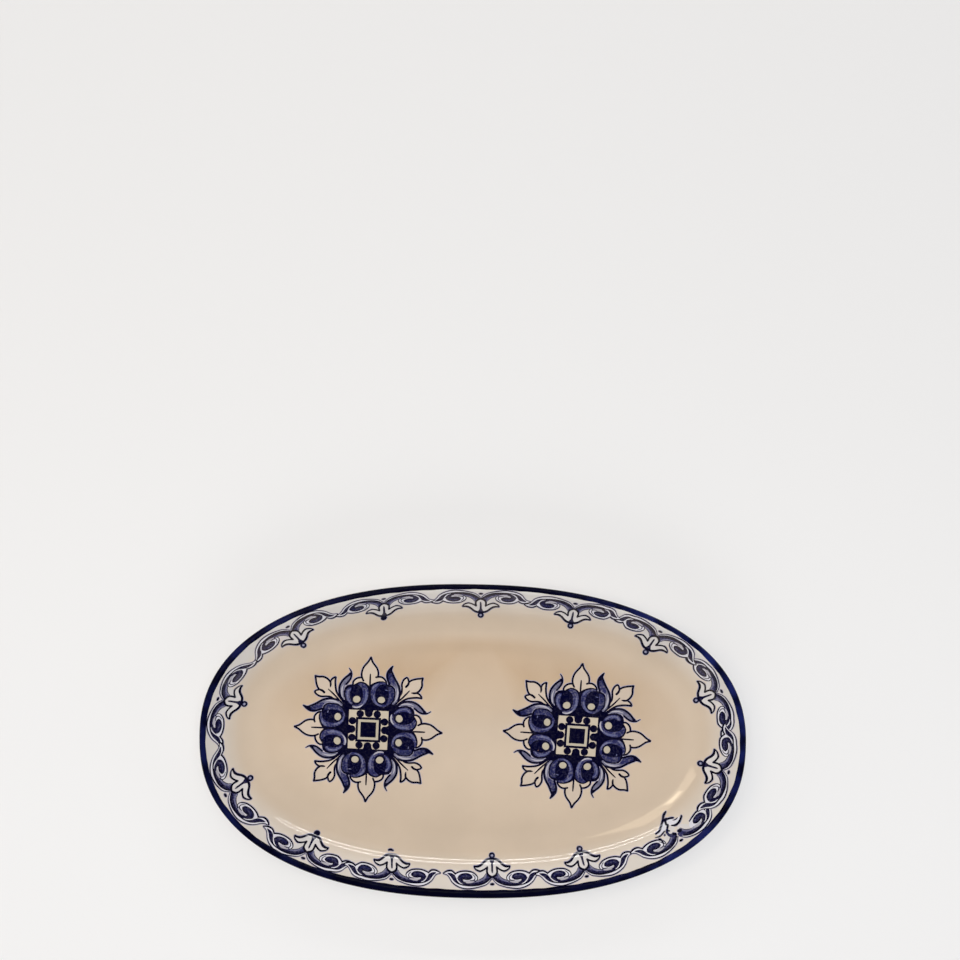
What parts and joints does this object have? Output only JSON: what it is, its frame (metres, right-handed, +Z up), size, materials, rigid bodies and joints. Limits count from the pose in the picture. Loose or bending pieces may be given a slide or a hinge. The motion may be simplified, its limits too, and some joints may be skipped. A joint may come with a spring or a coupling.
{
  "type": "oval serving dish",
  "caption": "Oval ceramic serving dish with a flat well, sloping wall, rounded cobalt-banded lip and low foot ring, glazed cream, for serving or holding food at the table.",
  "frame": {"origin": "on the table, under the middle of the dish, level with the underside of the foot ring", "axes": "+Z up out of the well, X along the length, Y across the width"},
  "size_m": [0.2998, 0.1758, 0.0287],
  "materials": {
    "fired_clay": "bare biscuit, matt and slightly grainy",
    "cream_glaze": "glossy, smooth, warm cream with faint specks",
    "cobalt_glaze": "glossy, dark blue, brushed on by hand"
  },
  "bodies": {
    "root": {"clay_body": "fired_clay", "face_glaze": "cream_glaze", "lip_band": "cobalt_glaze", "back_glaze": "cream_glaze", "recess_glaze": "cream_glaze"}
  },
  "joints": []
}
